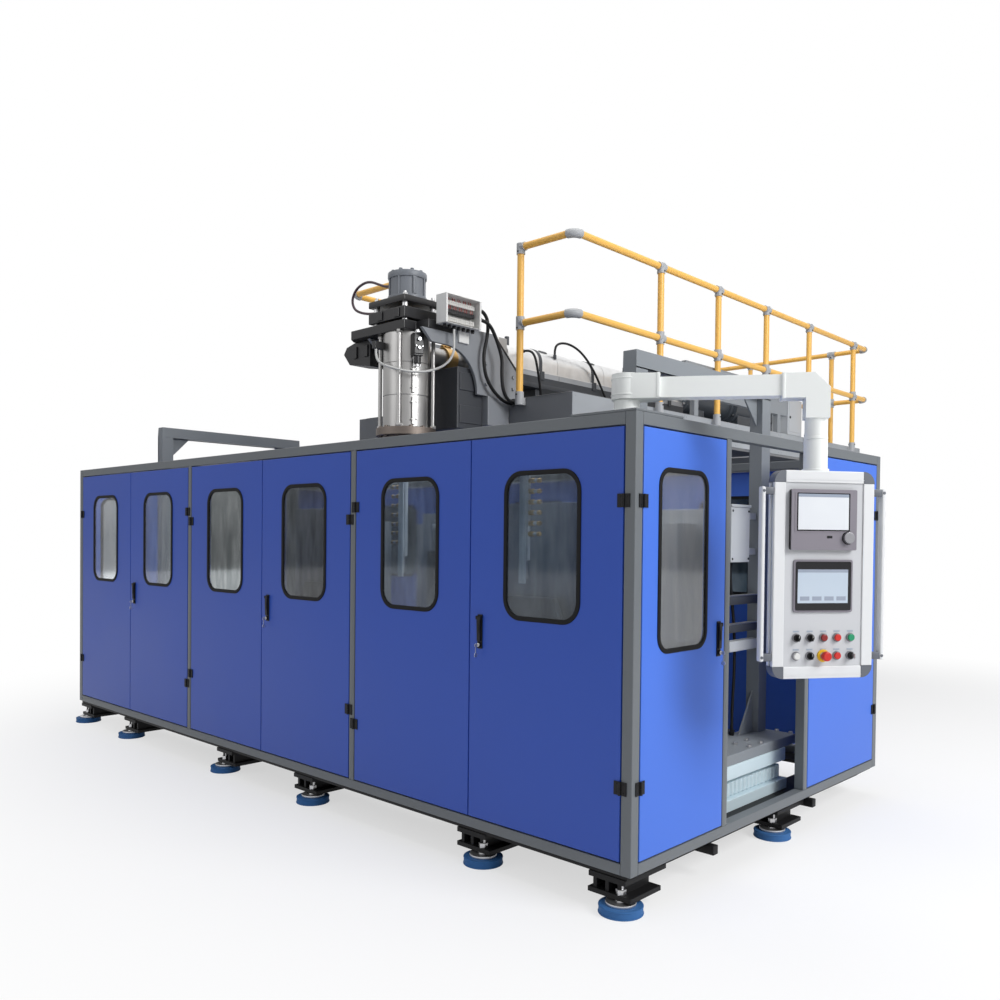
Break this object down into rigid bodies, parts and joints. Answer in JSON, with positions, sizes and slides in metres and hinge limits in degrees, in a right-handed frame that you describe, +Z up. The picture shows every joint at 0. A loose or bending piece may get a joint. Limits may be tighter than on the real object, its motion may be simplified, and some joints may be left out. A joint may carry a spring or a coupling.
{
  "type": "blow moulding machine",
  "caption": "Blow moulding machine with shuttling clamp stations in a guarded cabinet, extruder on a railed platform above, and a control box on a swing arm.",
  "frame": {"origin": "middle of the machine's footprint at floor level", "axes": "+X to the right along the long door front, +Y from the door front towards the extruder's motor, +Z up"},
  "size_m": [5.9199, 6.6659, 3.497],
  "materials": {
    "pad_blue": "matt",
    "bright_steel": "brushed",
    "base_black": "satin",
    "frame_grey": "satin",
    "hinge_black": "satin",
    "door_blue": "satin",
    "window_seal": "matt",
    "guide_blue": "satin",
    "portal_grey": "satin",
    "clamp_dark": "satin",
    "mould_steel": "machined",
    "platform_grey": "satin",
    "clamp_grey": "cast",
    "rail_yellow": "gloss",
    "head_steel": "machined",
    "plate_black": "satin",
    "cylinder_grey": "satin",
    "box_light": "satin",
    "bracket_dark": "satin",
    "cover_bright": "satin",
    "drive_blue": "satin",
    "trunk_grey": "satin",
    "cord_black": "matt",
    "cord_white": "matt",
    "arm_white": "satin",
    "panel_white": "satin",
    "frame_white": "satin",
    "screen_grey": "gloss",
    "knob_silver": "satin",
    "switch_black": "matt",
    "button_red": "gloss",
    "button_green": "gloss",
    "key_steel": "polished"
  },
  "bodies": {
    "machine": {"foot_pads": "pad_blue", "foot_screws": "bright_steel", "foot_brackets": "base_black", "base_frame": "base_black", "cabinet_frame": "frame_grey", "door_hinges": "hinge_black", "guard_panels": "door_blue", "guard_windows": "window_seal", "guide_beams": "guide_blue", "portal_frames": "portal_grey", "shuttle_rails": "bright_steel", "platform_frame": "platform_grey", "handrail_fittings": "clamp_grey", "handrail_tubes": "rail_yellow", "die_head": "head_steel", "head_plates": "plate_black", "accumulator_cylinder": "cylinder_grey", "service_boxes": "box_light", "head_bracket": "bracket_dark", "extruder_barrel": "cover_bright", "feed_housing": "drive_blue", "gearbox": "drive_blue", "drive_motor": "drive_blue", "terminal_box": "box_light", "cable_trunk": "trunk_grey", "heater_cables": "cord_black", "hanging_leads": "cord_white", "barrel_hoses": "cord_black", "arm_base": "arm_white"},
    "front_door_1": {"front_door_1": "door_blue"},
    "front_door_2": {"front_door_2": "door_blue"},
    "front_door_3": {"front_door_3": "door_blue"},
    "front_door_4": {"front_door_4": "door_blue"},
    "front_door_5": {"front_door_5": "door_blue"},
    "front_door_6": {"front_door_6": "door_blue"},
    "end_door": {"end_door": "door_blue"},
    "end_panel": {"end_panel": "door_blue"},
    "lock_handle_1": {"lock_handle_1": "hinge_black"},
    "lock_handle_2": {"lock_handle_2": "hinge_black"},
    "lock_handle_3": {"lock_handle_3": "hinge_black"},
    "lock_handle_4": {"lock_handle_4": "hinge_black"},
    "carriage_left": {"carriage_left": "clamp_dark"},
    "carriage_right": {"carriage_right": "clamp_dark"},
    "platen_left_front": {"platen_left_front": "mould_steel"},
    "platen_left_rear": {"platen_left_rear": "mould_steel"},
    "platen_right_front": {"platen_right_front": "mould_steel"},
    "platen_right_rear": {"platen_right_rear": "mould_steel"},
    "control_arm": {"control_arm": "arm_white"},
    "control_box": {"control_box": "panel_white", "box_frame": "frame_white", "touch_screens": "screen_grey"},
    "screen_knob": {"screen_knob": "knob_silver"},
    "selector_1": {"selector_1": "switch_black"},
    "selector_2": {"selector_2": "switch_black"},
    "button_red_upper": {"button_red_upper": "button_red"},
    "button_green": {"button_green": "button_green"},
    "selector_3": {"selector_3": "switch_black"},
    "emergency_stop": {"emergency_stop": "button_red"},
    "button_red_lower": {"button_red_lower": "button_red"},
    "key_switch": {"key_switch": "key_steel"}
  },
  "joints": [
    {"name": "front_door_1_hinge", "type": "hinge", "parent": "machine", "child": "front_door_1", "pos_m": [-2.88905, -3.29371, 1], "axis": [0, 0, -1], "range_deg": [0, 110]},
    {"name": "front_door_2_hinge", "type": "hinge", "parent": "machine", "child": "front_door_2", "pos_m": [-1.20505, -3.29371, 1], "axis": [0, 0, 1], "range_deg": [0, 85]},
    {"name": "front_door_3_hinge", "type": "hinge", "parent": "machine", "child": "front_door_3", "pos_m": [-1.15905, -3.29371, 1], "axis": [0, 0, -1], "range_deg": [0, 85]},
    {"name": "front_door_4_hinge", "type": "hinge", "parent": "machine", "child": "front_door_4", "pos_m": [0.52495, -3.29371, 1], "axis": [0, 0, 1], "range_deg": [0, 85]},
    {"name": "front_door_5_hinge", "type": "hinge", "parent": "machine", "child": "front_door_5", "pos_m": [0.57095, -3.29371, 1], "axis": [0, 0, -1], "range_deg": [0, 85]},
    {"name": "front_door_6_hinge", "type": "hinge", "parent": "machine", "child": "front_door_6", "pos_m": [2.25495, -3.29371, 1], "axis": [0, 0, 1], "range_deg": [0, 110]},
    {"name": "end_door_hinge", "type": "hinge", "parent": "machine", "child": "end_door", "pos_m": [2.31495, -3.23371, 1], "axis": [0, 0, -1], "range_deg": [0, 30]},
    {"name": "end_panel_hinge", "type": "hinge", "parent": "machine", "child": "end_panel", "pos_m": [2.31495, -0.89371, 1], "axis": [0, 0, 1], "range_deg": [0, 110]},
    {"name": "lock_handle_1_hinge", "type": "hinge", "parent": "front_door_2", "child": "lock_handle_1", "pos_m": [-1.97805, -3.29771, 1.111], "axis": [-1, 0, 0], "range_deg": [0, 30]},
    {"name": "lock_handle_2_hinge", "type": "hinge", "parent": "front_door_4", "child": "lock_handle_2", "pos_m": [-0.24805, -3.29771, 1.111], "axis": [-1, 0, 0], "range_deg": [0, 30]},
    {"name": "lock_handle_3_hinge", "type": "hinge", "parent": "front_door_6", "child": "lock_handle_3", "pos_m": [1.48195, -3.29771, 1.111], "axis": [-1, 0, 0], "range_deg": [0, 30]},
    {"name": "lock_handle_4_hinge", "type": "hinge", "parent": "end_door", "child": "lock_handle_4", "pos_m": [2.31895, -2.65471, 1.101], "axis": [0, -1, 0], "range_deg": [0, 30]},
    {"name": "carriage_right_slide", "type": "slide", "parent": "machine", "child": "carriage_right", "axis": [-1, 0, 0], "range_m": [0, 1.65]},
    {"name": "carriage_left_slide", "type": "slide", "parent": "machine", "child": "carriage_left", "axis": [-1, 0, 0], "range_m": [0, 1.65]},
    {"name": "platen_left_front_slide", "type": "slide", "parent": "carriage_left", "child": "platen_left_front", "axis": [0, 1, 0], "range_m": [0, 0.3295]},
    {"name": "platen_left_rear_slide", "type": "slide", "parent": "carriage_left", "child": "platen_left_rear", "axis": [0, -1, 0], "range_m": [0, 0.3295]},
    {"name": "platen_right_front_slide", "type": "slide", "parent": "carriage_right", "child": "platen_right_front", "axis": [0, 1, 0], "range_m": [0, 0.3295]},
    {"name": "platen_right_rear_slide", "type": "slide", "parent": "carriage_right", "child": "platen_right_rear", "axis": [0, -1, 0], "range_m": [0, 0.3295]},
    {"name": "control_arm_swing", "type": "hinge", "parent": "machine", "child": "control_arm", "pos_m": [2.12195, -3.08971, 2.08], "axis": [0, 0, 1], "range_deg": [-130, 20]},
    {"name": "control_box_turn", "type": "hinge", "parent": "control_arm", "child": "control_box", "pos_m": [2.74605, -2.68286, 1.85], "axis": [0, 0, 1], "range_deg": [-90, 90]},
    {"name": "screen_knob_turn", "type": "hinge", "parent": "control_box", "child": "screen_knob", "pos_m": [2.8777, -2.66396, 1.48], "axis": [0.8192, -0.5736, 0], "continuous": true},
    {"name": "selector_1_turn", "type": "hinge", "parent": "control_box", "child": "selector_1", "pos_m": [2.74676, -2.82131, 1.091], "axis": [-0.8192, 0.5736, 0], "range_deg": [-45, 45]},
    {"name": "selector_2_turn", "type": "hinge", "parent": "control_box", "child": "selector_2", "pos_m": [2.78003, -2.7738, 1.091], "axis": [-0.8192, 0.5736, 0], "range_deg": [-45, 45]},
    {"name": "button_red_upper_press", "type": "slide", "parent": "control_box", "child": "button_red_upper", "axis": [-0.8192, 0.5736, 0], "range_m": [0, 0.004], "stiffness_N_per_m": 600},
    {"name": "button_green_press", "type": "slide", "parent": "control_box", "child": "button_green", "axis": [-0.8192, 0.5736, 0], "range_m": [0, 0.004], "stiffness_N_per_m": 600},
    {"name": "selector_3_turn", "type": "hinge", "parent": "control_box", "child": "selector_3", "pos_m": [2.78003, -2.7738, 1.02], "axis": [-0.8192, 0.5736, 0], "range_deg": [-45, 45]},
    {"name": "emergency_stop_press", "type": "slide", "parent": "control_box", "child": "emergency_stop", "axis": [-0.8192, 0.5736, 0], "range_m": [0, 0.006]},
    {"name": "button_red_lower_press", "type": "slide", "parent": "control_box", "child": "button_red_lower", "axis": [-0.8192, 0.5736, 0], "range_m": [0, 0.004], "stiffness_N_per_m": 600},
    {"name": "key_switch_turn", "type": "hinge", "parent": "control_box", "child": "key_switch", "pos_m": [2.87983, -2.63127, 1.02], "axis": [-0.8192, 0.5736, 0], "range_deg": [0, 90]}
  ],
  "couplings": [
    {"joint": "carriage_left_slide", "follows": "carriage_right_slide", "ratio": 1},
    {"joint": "platen_left_rear_slide", "follows": "platen_left_front_slide", "ratio": 1},
    {"joint": "platen_right_rear_slide", "follows": "platen_right_front_slide", "ratio": 1}
  ]
}
